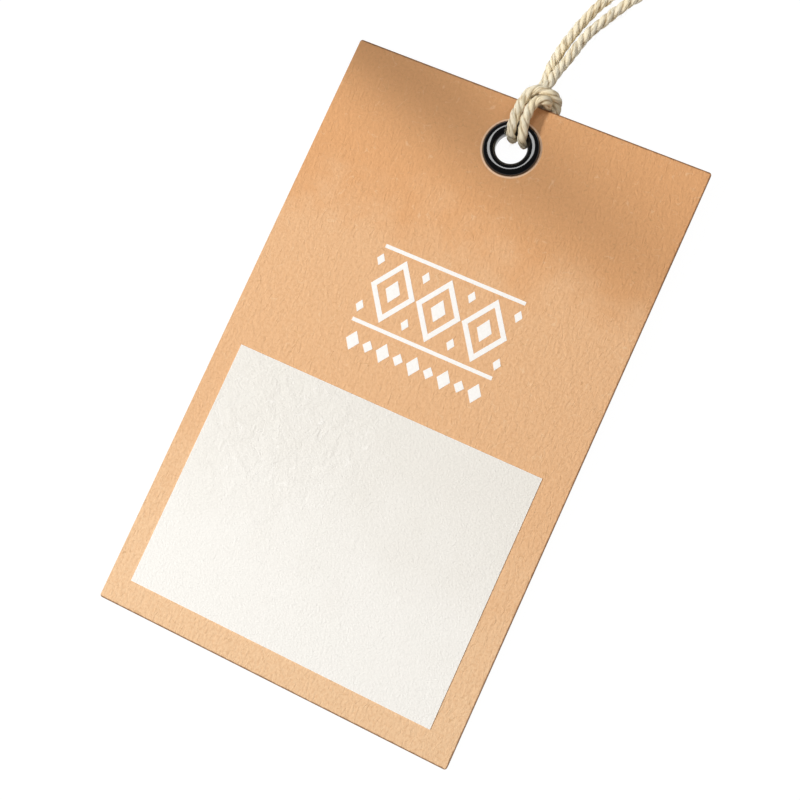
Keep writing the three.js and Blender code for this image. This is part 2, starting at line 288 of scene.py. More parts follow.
bm = bmesh.new()
print_rule(bm, UPPER_RULE_Y)
for step in range(-1, 2):
    print_lozenge(bm, LOZENGE_PITCH * step, LOZENGE_Y, LOZENGE_HALVES, LOZENGE_STROKE)
    print_lozenge(bm, LOZENGE_PITCH * step, LOZENGE_Y, HEART_HALVES)
for step in (-1.5, -0.5, 0.5, 1.5):
    print_lozenge(bm, LOZENGE_PITCH * step, LOZENGE_Y + BETWEEN_RISE, BETWEEN_HALVES)
    print_lozenge(bm, LOZENGE_PITCH * step, LOZENGE_Y - BETWEEN_RISE, BETWEEN_HALVES)
print_rule(bm, LOWER_RULE_Y)
for step in range(-4, 5):
    halves = EDGING_SMALL_HALVES if step % 2 else EDGING_LARGE_HALVES
    print_lozenge(bm, EDGING_PITCH * step, EDGING_Y, halves)
walls = bmesh.ops.extrude_face_region(bm, geom=bm.faces[:])
raised = [v for v in walls["geom"] if isinstance(v, bmesh.types.BMVert)]
bmesh.ops.translate(bm, verts=raised, vec=(0.0, 0.0, INK_RISE))
bmesh.ops.recalc_face_normals(bm, faces=bm.faces)
bmesh.ops.translate(bm, verts=bm.verts, vec=(PRINT_MIDDLE.x, PRINT_MIDDLE.y, CARD_THICKNESS))
ornament = finished(bm, "printed_ornament")

ink, tree, shader = material("white screen ink")
place = in_millimetres(tree)
grain = speckle(tree, place, 2.4, 3.0, 0.65)
pinholes = place_effect(tree, specks, Place=place, Density=1.1, Radius=0.09, Share=0.12)
colour = tint(tree, fade(tree, grain, 0.3, 0.7), (0.90, 0.895, 0.88, 1), (0.95, 0.945, 0.935, 1))
colour = tint(tree, product(tree, pinholes, 0.5), colour, (0.80, 0.62, 0.44, 1))
tree.links.new(colour, shader.inputs["Base Color"])
shader.inputs["Roughness"].default_value = 0.55
shader.inputs["Specular IOR Level"].default_value = 0.4
bump = node(tree, "Bump", {"Height": grain, "Distance": 0.00001, "Strength": 1.0})
tree.links.new(bump.outputs[0], shader.inputs["Normal"])
dress(ornament, ink)
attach(ornament, "root")


# The writing label: uncoated off-white paper, 0.12 mm thick and pasted down, so long pale fibres
# show in it and its upper left has dried with faint wrinkles. Its colour is painted paler toward its
# foot, as painted light, and a thin band along its edge is painted paler still, a painted highlight.
LABEL_MIDDLE = (-0.45, -22.35, 0.0)
LABEL_HALF_WIDTH = 23.75
LABEL_HALF_LENGTH = 18.7
LABEL_HIGHLIGHT_BAND = 0.12
WRINKLED_CORNER = (-13.0, 12.0, 0.0)

label_paper, tree, shader = material("label paper")
place = in_millimetres(tree)
on_label = node(tree, "VectorMath", {0: place, 1: LABEL_MIDDLE}, operation="SUBTRACT").outputs[0]
cloud = speckle(tree, place, 0.12, 3.0)
tooth = speckle(tree, place, 3.0, 3.0, 0.6)
long_fibres = place_effect(tree, fibres, Place=place, Density=0.5, Width=0.022, Share=0.6)
elsewhere = swung(tree, place, (0.1, 0.3, 0.8))
short_fibres = place_effect(tree, fibres, Place=elsewhere, Density=1.1, Width=0.03, Share=0.5)
flecks = place_effect(tree, specks, Place=place, Density=0.28, Radius=0.13, Share=0.12)
edge_band = place_effect(
    tree, cut_edge, Place=on_label, Band=LABEL_HIGHLIGHT_BAND,
    Half_Width=LABEL_HALF_WIDTH, Half_Length=LABEL_HALF_LENGTH,
)
from_corner = node(tree, "VectorMath", {0: on_label, 1: WRINKLED_CORNER}, operation="DISTANCE")
near_corner = fade(tree, from_corner.outputs["Value"], 22.0, 4.0)
creases = speckle(tree, place, 0.42, 4.0, 0.6, 0.8)
_, along, _ = node(tree, "SeparateXYZ", {0: on_label}).outputs
# Painted light: the label is painted paler toward its foot, along an edge made uneven by a slow cloud
painted_light = fade(tree, sum_of(tree, along, product(tree, cloud, 24.0)), 30.0, -2.0)
colour = tint(tree, painted_light, (0.82, 0.805, 0.765, 1), (0.885, 0.88, 0.855, 1))
fibre_share = sum_of(tree, product(tree, near_corner, 0.3), 0.12)
colour = tint(tree, product(tree, long_fibres, fibre_share), colour, (0.98, 0.975, 0.96, 1))
colour = tint(tree, product(tree, short_fibres, 0.15), colour, (0.74, 0.71, 0.67, 1))
colour = tint(tree, product(tree, flecks, 0.35), colour, (0.45, 0.38, 0.30, 1))
# A painted highlight: a thin band along the label's edge painted paler
colour = tint(tree, product(tree, edge_band, 0.6), colour, (0.95, 0.95, 0.94, 1))
tree.links.new(colour, shader.inputs["Base Color"])
shader.inputs["Roughness"].default_value = 0.7
shader.inputs["Specular IOR Level"].default_value = 0.3
relief = sum_of(tree, product(tree, tooth, 5.0), product(tree, long_fibres, 0.8))
relief = sum_of(tree, relief, product(tree, product(tree, creases, near_corner), 14.0))
bump = node(tree, "Bump", {"Height": relief, "Distance": 0.00002, "Strength": 1.0})
tree.links.new(bump.outputs[0], shader.inputs["Normal"])
dress(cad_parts["writing_label"], label_paper)


# The eyelet: one piece of thin sheet metal, drawn into a barrel with a domed flange, set through the
# card and rolled over behind it, then finished in gloss black enamel.
SHEET = 0.3
BORE_RADIUS = 2.3
FLANGE_RISE = 0.75
ROLL_RADIUS = 3.2
ROLL_RISE = 0.6
FOLD_STEPS = 26
EYELET_SIDES = 160


def sheet_fold(rim_radius, face, rise, skin):
    """One skin of a half-elliptical fold of the sheet, from its rim over its crest to the barrel."""
    barrel = BORE_RADIUS + SHEET / 2
    reach = (rim_radius - SHEET / 2 - barrel) / 2
    height = rise - math.copysign(SHEET / 2, rise)
    places = []
    for step in range(FOLD_STEPS + 1):
        angle = math.pi * step / FOLD_STEPS
        middle = Vector((barrel + reach + reach * math.cos(angle), 0.0, face + height * math.sin(angle)))
        outwards = Vector((math.cos(angle) / reach, 0.0, math.sin(angle) / height)).normalized()
        places.append(middle + outwards * skin * SHEET / 2)
    return places


outer = sheet_fold(FLANGE_RADIUS, CARD_THICKNESS, FLANGE_RISE, 1)
outer += sheet_fold(ROLL_RADIUS, 0.0, -ROLL_RISE, 1)[::-1]
inner = sheet_fold(ROLL_RADIUS, 0.0, -ROLL_RISE, -1)
inner += sheet_fold(FLANGE_RADIUS, CARD_THICKNESS, FLANGE_RISE, -1)[::-1]
bm = bmesh.new()
corners = [bm.verts.new(place) for place in outer + inner]
edges = [bm.edges.new((corners[i - 1], corners[i])) for i in range(len(corners))]
bmesh.ops.spin(
    bm, geom=corners + edges, cent=(0.0, 0.0, 0.0), axis=(0.0, 0.0, 1.0), angle=2 * math.pi,
    steps=EYELET_SIDES, use_merge=True,
)
bmesh.ops.remove_doubles(bm, verts=bm.verts, dist=0.0005)
bmesh.ops.recalc_face_normals(bm, faces=bm.faces)
bmesh.ops.translate(bm, verts=bm.verts, vec=(0.0, EYELET_Y, 0.0))
for face in bm.faces:
    face.smooth = True
eyelet = finished(bm, "eyelet_shell")

enamel, tree, shader = material("gloss black enamel")
place = in_millimetres(tree)
ripple = speckle(tree, place, 1.6)
rubbed = speckle(tree, place, 7.0, 3.0)
colour = tint(tree, rubbed, (0.002, 0.002, 0.002, 1), (0.006, 0.006, 0.007, 1))
tree.links.new(colour, shader.inputs["Base Color"])
tree.links.new(fade(tree, rubbed, 0.3, 0.75, 0.08, 0.14), shader.inputs["Roughness"])
shader.inputs["Specular IOR Level"].default_value = 0.5
shader.inputs["Coat Weight"].default_value = 0.8
shader.inputs["Coat Roughness"].default_value = 0.05
bump = node(tree, "Bump", {"Height": ripple, "Distance": 0.00001, "Strength": 0.6})
tree.links.new(bump.outputs[0], shader.inputs["Normal"])
dress(eyelet, enamel)
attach(eyelet, "root")
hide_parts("eyelet")


# The string: one length of cream cotton twine, three plies laid together to about 1.3 mm, fuller
# where it hangs free and tighter in the hitch. It runs from one knotted end through the hank, the
# tail and the hitch, and back by the other tail.
TWINE_RADIUS = 0.65
TABLE_FALL = 2.4 / 92.0
PLIES = 3
LAY_LENGTH = 4.7
PLY_RADIUS = 0.5
PLY_OFFSET = 0.21
PLY_SIDES = 12
STRING_STEP = 0.18
HITCH_FULLNESS = 1.05
FREE_FULLNESS = 1.12
SWELLS_BEFORE = 2.0
SWELLS_OVER = 6.0
BORE_SQUEEZE = 0.3
SQUEEZE_SETS_IN = (-1.6, -0.7)
SQUEEZE_LETS_GO = (2.1, 1.1)
PRESSED_DEEPEST = 0.5
WALL_CLEARANCE = 0.02
PLY_EVENNESS = 0.98
SLOW_CHANGE = 0.13
SLOW_LENGTH = 2.6
QUICK_CHANGE = 0.05
QUICK_LENGTH = 0.7
FIBRE_SLANT = 0.5
LOOSE_RADIUS = 0.014
LOOSE_LONGEST = 1.3
LOOSE_PER_MM = 2.5
LOOSE_STEPS = 4
LOOSE_LIFT = 0.03
HANK_RUNS = 3
HANK_NEAR_Y = 28.6
HANK_FAR_Y = 49.6
HANK_MIDDLE_X = 1.3
HANK_PITCH_AT_FOLDS = 7.7
HANK_PITCH_AT_WAIST = 3.75
HANK_STRAND_SPACING = 1.84
HANK_WAIST_LIFT = 1.1
HANK_RUN_STEPS = 8

# Places on the string are in millimetres from the middle of the card's top edge, at its back
HITCH_ROUTE = [
    (0.12, 4.05, -0.75),
    (0.16, 3.0, -0.45),
    (0.16, 2.0, -0.2),
    (0.1, 1.15, -0.28),
    (-0.08, 0.1, -0.74),
    (-0.3, -2.4, -0.95),
    (-0.5, -3.6, -1.22),
    (-0.6, -4.4, -1.32),
    (-0.66, -5.05, -1.1),
    (-0.7, -5.5, -0.6),
    (-0.72, -5.64, 0.2),
    (-0.74, -5.6, 1.1),
    (-0.82, -5.2, 1.85),
    (-0.98, -4.3, 2.25),
    (-1.12, -3.3, 2.32),
    (-1.2, -2.1, 2.33),
    (-1.16, -1.0, 2.34),
    (-1.0, 0.0, 2.36),
    (-0.64, 1.02, 2.36),
    (0.27, 1.8, 2.33),
    (1.4, 2.02, 2.2),
    (2.3, 2.04, 1.9),
    (2.92, 1.95, 1.35),
    (3.25, 1.72, 0.7),
    (3.44, 1.16, -0.05),
    (3.36, 0.5, -0.7),
    (3.1, -0.6, -0.92),
    (2.45, -2.3, -1.0),
    (1.75, -3.6, -1.2),
    (1.3, -4.6, -1.32),
    (1.15, -5.25, -1.1),
    (1.1, -5.75, -0.6),
    (1.08, -5.9, 0.2),
    (1.08, -5.86, 1.0),
    (0.98, -5.35, 1.85),
    (0.75, -4.4, 2.28),
    (0.48, -3.3, 2.38),
    (0.4, -2.2, 2.45),
    (0.48, -0.9, 2.55),
    (0.85, 0.05, 2.65),
    (1.45, 0.52, 2.7),
    (2.02, 0.68, 2.45),
    (2.33, 0.72, 1.8),
    (2.32, 0.72, 0.8),
    (2.26, 0.78, 0.0),
    (2.1, 1.08, -0.85),
    (1.45, 1.4, -1.42),
    (0.6, 1.45, -1.62),
    (-0.4, 1.35, -1.5),
    (-1.1, 1.2, -0.8),
    (-1.17, 1.42, 0.2),
    (-0.6, 1.9, 0.97),
    (0.2, 2.35, 1.13),
    (0.8, 3.0, 0.95),
    (1.12, 3.8, 0.6),
    (1.17, 4.9, 0.25),
]


def on_table(x, y, lift=0.0):
    """The middle of a strand that lies on the table, which falls away slowly past the card."""
    return Vector((x, y, -TABLE_FALL * (2 * CARD_HALF_LENGTH + y) + TWINE_RADIUS + lift))


LEFT_TAIL_ROUTE = [
    (0.11, 4.34, -0.83),
    (0.0, 6.5, -1.2),
    (0.08, 9.2, -1.5),
    (0.6, 12.15, -1.78),
    on_table(1.3, 15.1, 0.04),
    on_table(2.38, 18.25),
    on_table(4.1, 21.3),
    on_table(6.3, 23.7),
    on_table(7.75, 25.6),
    on_table(8.08, 27.0),
]
RIGHT_TAIL_ROUTE = [
    (1.19, 5.19, 0.16),
    (1.42, 6.7, -0.25),
    (1.76, 8.2, -0.6),
    (2.26, 11.15, -1.2),
    (3.14, 14.3, -1.7),
    on_table(4.7, 17.6, 0.04),
    on_table(6.65, 21.0),
    on_table(8.7, 23.6),
    on_table(9.75, 25.6),
    on_table(9.92, 27.0),
]

# An overhand knot in one end: along the strand, out to its side and up
KNOT_ROUTE = [
    (0.0, 0.0, 0.0),
    (1.4, 0.1, 0.0),
    (3.3, 1.7, 0.0),
    (4.5, 2.25, 0.0),
    (5.6, 2.3, 0.0),
    (6.9, 2.3, 0.7),
    (8.3, 2.35, 1.55),
    (9.7, 2.6, 1.2),
    (10.7, 3.6, 0.4),
    (10.9, 4.9, 0.0),
    (9.9, 6.1, 0.0),
    (8.2, 6.5, 0.1),
    (6.5, 5.8, 0.8),
    (5.6, 4.2, 1.45),
    (5.4, 2.3, 1.6),
    (6.1, 0.75, 1.0),
    (7.4, 0.4, 0.15),
    (8.4, 1.5, 0.0),
    (8.6, 2.9, 0.03),
    (9.2, 4.2, 0.85),
    (10.7, 5.0, 1.6),
    (12.2, 4.7, 1.0),
    (13.4, 3.9, 0.2),
    (14.8, 3.4, 0.0),
]


def hank_pitch(y):
    """How far apart the hank's runs lie: drawn in at its waist, open at its folds."""
    from_waist = (y - (HANK_NEAR_Y + HANK_FAR_Y) / 2) / ((HANK_FAR_Y - HANK_NEAR_Y) / 2)
    drawn_in = (1 + math.cos(math.pi * from_waist)) / 2
    return HANK_PITCH_AT_FOLDS - (HANK_PITCH_AT_FOLDS - HANK_PITCH_AT_WAIST) * drawn_in


def hank_route(side):
    """One strand of the pair, on the left (+1) or the right (-1) of the pair's own middle line."""
    fold = HANK_PITCH_AT_FOLDS / 2
    line = [Vector((HANK_MIDDLE_X + 2 * fold, HANK_NEAR_Y - 2 * TWINE_RADIUS))]
    for run in range(HANK_RUNS):
        outward = run % 2 == 0
        steps = range(HANK_RUN_STEPS + 1) if outward else range(HANK_RUN_STEPS, -1, -1)
        for step in steps:
            y = HANK_NEAR_Y + (HANK_FAR_Y - HANK_NEAR_Y) * step / HANK_RUN_STEPS
            line.append(Vector((HANK_MIDDLE_X + (1 - run) * hank_pitch(y), y)))
        if run < HANK_RUNS - 1:
            for step in range(1, HANK_RUN_STEPS):
                angle = math.pi * step / HANK_RUN_STEPS
                x = HANK_MIDDLE_X + (0.5 - run) * HANK_PITCH_AT_FOLDS + fold * math.cos(angle)
                bulge = fold * math.sin(angle)
                line.append(Vector((x, HANK_FAR_Y + bulge if outward else HANK_NEAR_Y - bulge)))
    line.append(line[-1] + Vector((0.0, 2 * TWINE_RADIUS)))
    route = []
    for i, place in enumerate(line):
        way = (line[min(i + 1, len(line) - 1)] - line[max(i - 1, 0)]).normalized()
        aside = place + Vector((-way.y, way.x)) * side * HANK_STRAND_SPACING / 2
        in_run = HANK_NEAR_Y < aside.y < HANK_FAR_Y
        drawn_in = (HANK_PITCH_AT_FOLDS - hank_pitch(aside.y)) / (
            HANK_PITCH_AT_FOLDS - HANK_PITCH_AT_WAIST
        )
        route.append(on_table(aside.x, aside.y, HANK_WAIST_LIFT * drawn_in if in_run else 0.0))
    return route


def knot_route(side):
    end = hank_route(side)[-1]
    return [on_table(end.x - side * out, end.y + 0.3 + along, up) for along, out, up in KNOT_ROUTE]


def even_places(route, step):
    """Evenly spaced places on the smooth centripetal curve through a route's points."""
    points = [Vector(p) for p in route]
    points = [2 * points[0] - points[1]] + points + [2 * points[-1] - points[-2]]
    fine = []
    for a, b, c, d in zip(points, points[1:], points[2:], points[3:]):
        ta, tb, tc = (max((q - p).length, 1e-4) ** 0.5 for p, q in ((a, b), (b, c), (c, d)))
        way_b = (b - a) / ta - (c - a) / (ta + tb) + (c - b) / tb
        way_c = (c - b) / tb - (d - b) / (tb + tc) + (d - c) / tc
        count = max(2, math.ceil((c - b).length / (step / 4)))
        for i in range(count):
            t = i / count
            fine.append(
                b * (2 * t**3 - 3 * t**2 + 1) + way_b * tb * (t**3 - 2 * t**2 + t)
                + c * (3 * t**2 - 2 * t**3) + way_c * tb * (t**3 - t**2)
            )
    fine.append(points[-2])
    whole = sum((q - p).length for p, q in zip(fine, fine[1:]))
    count = round(whole / step)
    places, gone, i = [fine[0]], 0.0, 0
    for k in range(1, count):
        target = whole * k / count
        while gone + (fine[i + 1] - fine[i]).length < target:
            gone += (fine[i + 1] - fine[i]).length
            i += 1
        share = (target - gone) / (fine[i + 1] - fine[i]).length
        places.append(fine[i].lerp(fine[i + 1], share))
    return places + [fine[-1]]


def ply_section(name, plies, ply_radius, ply_offset):
    """The outline of the plies where they lie together, as a flat curve to sweep along a strand."""
    curve = bpy.data.curves.new(name, "CURVE")
    spline = curve.splines.new("POLY")
    sides = plies * PLY_SIDES
    spline.points.add(sides - 1)
    for i, point in enumerate(spline.points):
        angle = 2 * math.pi * i / sides
        off = (angle + math.pi / plies) % (2 * math.pi / plies) - math.pi / plies
        reach = ply_offset * math.cos(off) + math.sqrt(ply_radius**2 - (ply_offset * math.sin(off)) ** 2)
        point.co = (reach * math.cos(angle), reach * math.sin(angle), 0.0, 1.0)
    spline.use_cyclic_u = True
    section = bpy.data.objects.new(name, curve)
    bpy.context.scene.collection.objects.link(section)
    return section


def swept(section, places, lay_length, step, fullness):
    """Sweeps the section along the places with an S lay, and gives the bare tube as a mesh."""
    curve = bpy.data.curves.new("sweep", "CURVE")
    curve.dimensions = "3D"
    curve.twist_mode = "MINIMUM"
    curve.bevel_mode = "OBJECT"
    curve.bevel_object = section
    spline = curve.splines.new("POLY")
    spline.points.add(len(places) - 1)
    for i, (point, place) in enumerate(zip(spline.points, places)):
        point.co = (*place, 1.0)
        point.tilt = -2 * math.pi * i * step / lay_length
        point.radius = fullness(i * step)
    holder = bpy.data.objects.new("sweep", curve)
    bpy.context.scene.collection.objects.link(holder)
    bpy.context.view_layer.update()
    tube = bpy.data.meshes.new_from_object(holder.evaluated_get(bpy.context.evaluated_depsgraph_get()))
    bpy.data.objects.remove(holder)
    return tube


def passed(value, start, end):
    """How much of the way from start to end a value has gone, from 0 to 1."""
    return min(max((value - start) / (end - start), 0.0), 1.0)


def pressed_in_bore(place):
    """Where a place of the strand's skin goes as it flattens against the eyelet's upper wall."""
    eyelet_y = EYELET_Y - CARD_HALF_LENGTH
    out = Vector((place.x, place.y - eyelet_y))
    deep = passed(place.z, *SQUEEZE_LETS_GO) * passed(place.z, *SQUEEZE_SETS_IN)
    if out.length < BORE_RADIUS:
        wall = math.sqrt(BORE_RADIUS**2 - out.x**2)
        out.y += (wall - out.y) * BORE_SQUEEZE * deep
    if deep == 1.0 and BORE_RADIUS < out.length < BORE_RADIUS + PRESSED_DEEPEST:
        out *= (BORE_RADIUS - WALL_CLEARANCE) / out.length
    return Vector((out.x, out.y + eyelet_y, place.z))


def uneven(painted_rim_highlight, side):
    """How much fuller or thinner a ply is at one place along the string."""
    ply = (side * PLIES + twine_sides // 2) // twine_sides % PLIES
    slow = noise.noise((painted_rim_highlight * STRING_STEP / SLOW_LENGTH, ply * 7.3, 0.0))
    quick = noise.noise((painted_rim_highlight * STRING_STEP / QUICK_LENGTH, side * 0.9, 4.0))
    return PLY_EVENNESS + SLOW_CHANGE * slow + QUICK_CHANGE * quick


def hairs(bm, places, per_mm, seed):
    """Adds loose fibres that stand off a strand, as thin four-sided tubes in the second material."""
    luck = random.Random(seed)
    curve = bpy.data.curves.new("hairs", "CURVE")
    curve.dimensions = "3D"
    curve.bevel_depth = LOOSE_RADIUS
    curve.bevel_resolution = 0
    curve.use_fill_caps = True
    reach = sum((q - p).length for p, q in zip(places, places[1:]))
    for _ in range(round(reach * per_mm)):
        i = luck.randrange(1, len(places) - 1)
        way = (places[i + 1] - places[i - 1]).normalized()
        side = way.orthogonal().normalized()
        side.rotate(Quaternion(way, luck.uniform(0, 2 * math.pi)))
        length = LOOSE_LONGEST * luck.uniform(0.3, 1.0)
        lean = way * luck.choice((-1, 1)) * luck.uniform(0.5, 1.6)
        bend = way.cross(side) * luck.uniform(-0.7, 0.7)
        spline = curve.splines.new("POLY")
        spline.points.add(LOOSE_STEPS)
        for k, point in enumerate(spline.points):
            t = k / LOOSE_STEPS
            off = (side * (1 - 0.45 * t) + lean * t + bend * t * t) * length * t
            tip = places[i] + side * TWINE_RADIUS * 0.82 + off
            tip.z = max(tip.z, on_table(tip.x, tip.y).z - TWINE_RADIUS + LOOSE_LIFT)
            point.co = (*tip, 1.0)
            point.radius = 1.0 - 0.6 * t
    holder = bpy.data.objects.new("hairs", curve)
    bpy.context.scene.collection.objects.link(holder)
    bpy.context.view_layer.update()
    mesh = bpy.data.meshes.new_from_object(holder.evaluated_get(bpy.context.evaluated_depsgraph_get()))
    bpy.data.objects.remove(holder)
    for face in mesh.polygons:
        face.material_index = 1
    bm.from_mesh(mesh)


def strand_piece(name, tube, sides, first, last, places, loose_per_mm, seed):
    """Cuts rings first to last out of a swept tube, closes both ends, and adds its loose fibres."""
    bm = bmesh.new()
    bm.from_mesh(tube)
    bm.verts.ensure_lookup_table()
    outside = [v for v in bm.verts if not first * sides <= v.index < (last + 1) * sides]
    bmesh.ops.delete(bm, geom=outside, context="VERTS")
    for face in bm.faces:
        face.smooth = True
    rims = [e for e in bm.edges if e.is_boundary]
    for face in bmesh.ops.holes_fill(bm, edges=rims, sides=0)["faces"]:
        face.smooth = False
    for edge in rims:
        edge.smooth = False
    hairs(bm, places[first : last + 1], loose_per_mm, seed)
    bmesh.ops.translate(bm, verts=bm.verts, vec=(0.0, CARD_HALF_LENGTH, 0.0))
    return finished(bm, name)


left_part = (LEFT_TAIL_ROUTE + hank_route(1) + knot_route(1))[::-1]
right_part = RIGHT_TAIL_ROUTE + hank_route(-1) + knot_route(-1)
string_places = even_places(left_part + HITCH_ROUTE + right_part, STRING_STEP)
rings = len(string_places)
hitch_first = min(range(rings), key=lambda i: (string_places[i] - Vector(HITCH_ROUTE[0])).length)
hitch_last = min(range(rings), key=lambda i: (string_places[i] - Vector(HITCH_ROUTE[-1])).length)


def twine_fullness(along):
    """The twine is drawn tight in the hitch and swells over a few millimetres on either side."""
    middle = (hitch_first + hitch_last) / 2 * STRING_STEP
    half = (hitch_last - hitch_first) / 2 * STRING_STEP
    past = passed(abs(along - middle) - half, -SWELLS_BEFORE, SWELLS_OVER - SWELLS_BEFORE)
    return HITCH_FULLNESS + (FREE_FULLNESS - HITCH_FULLNESS) * past * past * (3 - 2 * past)


twine_sides = PLIES * PLY_SIDES
twine_section = ply_section("twine section", PLIES, PLY_RADIUS, PLY_OFFSET)
twine_tube = swept(twine_section, string_places, LAY_LENGTH, STRING_STEP, twine_fullness)
for corner in twine_tube.vertices:
    middle = string_places[corner.index // twine_sides]
    corner.co = middle + (corner.co - middle) * uneven(*divmod(corner.index, twine_sides))
    corner.co = pressed_in_bore(corner.co)
    corner.co.z = max(corner.co.z, on_table(corner.co.x, corner.co.y).z - TWINE_RADIUS)


def twine_piece(name, first, last, seed):
    return strand_piece(name, twine_tube, twine_sides, first, last, string_places, LOOSE_PER_MM, seed)


hitch = twine_piece("twine_hitch_strand", hitch_first, hitch_last, 11)
left_cord = twine_piece("twine_left_strand", 0, hitch_first, 23)
right_cord = twine_piece("twine_right_strand", hitch_last, rings - 1, 37)

# Fibres laid along each ply, painted shade in the grooves between the plies, slow changes in tone
twine, tree, shader = material("cream cotton twine")
place = in_millimetres(tree)
on_strand = node(tree, "UVMap", uv_map="UVMap").outputs[0]
along, around, _ = node(tree, "SeparateXYZ", {0: on_strand}).outputs
string_length = rings * STRING_STEP
slant = sum_of(tree, around, product(tree, along, string_length * FIBRE_SLANT / LAY_LENGTH))
angle = product(tree, slant, 2 * math.pi)
stretched = node(tree, "CombineXYZ", {
    0: product(tree, node(tree, "Math", {0: angle}, operation="COSINE").outputs[0], 2.2),
    1: product(tree, node(tree, "Math", {0: angle}, operation="SINE").outputs[0], 2.2),
    2: product(tree, along, string_length * 0.5),
}).outputs[0]
fibre_lines = speckle(tree, stretched, 1.0, 4.0, 0.7)
# Painted shade: the grooves between the plies are painted darker
phase = node(tree, "Math", {0: product(tree, around, PLIES)}, operation="FRACT").outputs[0]
painted_groove_shade = fade(tree, size_of(tree, sum_of(tree, phase, -0.5)), 0.22, 0.02)
tone = speckle(tree, place, 0.5, 3.0)
colour = tint(tree, fade(tree, tone, 0.3, 0.7), (0.94, 0.83, 0.59, 1), (0.985, 0.92, 0.74, 1))
colour = tint(tree, fade(tree, fibre_lines, 0.36, 0.48, 0.75, 0.0), colour, (0.46, 0.325, 0.16, 1))
colour = tint(tree, fade(tree, fibre_lines, 0.52, 0.70, 0.0, 0.7), colour, (0.98, 0.94, 0.83, 1))
painted_groove_shade = product(tree, painted_groove_shade, fade(tree, fibre_lines, 0.35, 0.6, 0.85, 0.3))
colour = tint(tree, painted_groove_shade, colour, (0.36, 0.24, 0.11, 1))
tree.links.new(colour, shader.inputs["Base Color"])
shader.inputs["Roughness"].default_value = 0.8
shader.inputs["Specular IOR Level"].default_value = 0.25
bump = node(tree, "Bump", {"Height": fibre_lines, "Distance": 0.00012, "Strength": 1.0})
tree.links.new(bump.outputs[0], shader.inputs["Normal"])

lint, tree, shader = material("loose fibres")
shader.inputs["Base Color"].default_value = (0.93, 0.87, 0.72, 1)
shader.inputs["Roughness"].default_value = 0.9
shader.inputs["Specular IOR Level"].default_value = 0.1
for strand in (hitch, left_cord, right_cord):
    strand.data.materials.append(twine)
    strand.data.materials.append(lint)
    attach(strand, "root")
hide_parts("twine_hitch")
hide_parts("twine_tail_left", "twine_hank_left", "twine_knot_left")
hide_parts("twine_tail_right", "twine_hank_right", "twine_knot_right")


# The thread that ties the hank: three turns of thin two-ply cotton, wound a little open round the
# six strands of its waist.
THREAD_RADIUS = 0.25
THREAD_TURNS = 3
THREAD_PITCH = 0.95
THREAD_CLEARANCE = 0.3
THREAD_STEP = 0.12
THREAD_TURN_STEPS = 24
THREAD_PLIES = 2
THREAD_PLY_RADIUS = 0.14
THREAD_PLY_OFFSET = 0.115
THREAD_LAY_LENGTH = 1.5


def thread_route():
    """Turns on a flat loop with round ends, each a pitch further along the waist."""
    half_flat = (HANK_PITCH_AT_WAIST * (HANK_RUNS - 1) + HANK_STRAND_SPACING) / 2
    radius = TWINE_RADIUS + THREAD_CLEARANCE + THREAD_RADIUS
    half_turn = 2 * half_flat + math.pi * radius
    route = []
    for i in range(THREAD_TURNS * THREAD_TURN_STEPS + 1):
        turn = i / THREAD_TURN_STEPS
        along = (turn % 1) * 2 * half_turn
        way = -1 if along >= half_turn else 1
        past = along % half_turn
        angle = max(past - 2 * half_flat, 0.0) / radius
        x = way * (half_flat - min(past, 2 * half_flat) - radius * math.sin(angle))
        z = way * radius * math.cos(angle)
        y = (HANK_NEAR_Y + HANK_FAR_Y) / 2 + (turn - THREAD_TURNS / 2) * THREAD_PITCH
        route.append(on_table(HANK_MIDDLE_X + x, y, HANK_WAIST_LIFT + z))
    return route


thread_places = even_places(thread_route(), THREAD_STEP)
thread_sides = THREAD_PLIES * PLY_SIDES
thread_section = ply_section("thread section", THREAD_PLIES, THREAD_PLY_RADIUS, THREAD_PLY_OFFSET)
thread_tube = swept(thread_section, thread_places, THREAD_LAY_LENGTH, THREAD_STEP, lambda along: 1.0)
binding = strand_piece(
    "hank_binding_thread", thread_tube, thread_sides, 0, len(thread_places) - 1, thread_places, 0.0, 5
)
for section in (twine_section, thread_section):
    bpy.data.objects.remove(section)

thread, tree, shader = material("cotton thread")
place = in_millimetres(tree)
nap = speckle(tree, place, 5.0, 3.0)
colour = tint(tree, nap, (0.52, 0.42, 0.26, 1), (0.72, 0.62, 0.43, 1))
tree.links.new(colour, shader.inputs["Base Color"])
shader.inputs["Roughness"].default_value = 0.8
bump = node(tree, "Bump", {"Height": nap, "Distance": 0.00003, "Strength": 0.8})
tree.links.new(bump.outputs[0], shader.inputs["Normal"])
dress(binding, thread)
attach(binding, "root")
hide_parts("hank_tie_thread")


# The table, the light and the camera. The table is white card under the tag, which the hitch props
# up, so it falls away past the lower edge. The key light stands low on the left and a soft box hangs
# overhead. The camera looks down from the right of the middle, turned about its own line of sight.
TABLE_HALF_WIDTH = 1500.0
TABLE_GAP = 0.01
TABLE_GLOW = 1.05
TABLE_GLOW_SHARE = 0.93
SKY_LIGHT = 0.04
CAMERA_PLACE = Vector((0.032755, -0.01208, 0.16722))
CAMERA_TURN = ((0.89747, 0.41558, -0.14779), (-0.39818, 0.90749, 0.13382), (0.18974, -0.06125, 0.97992))

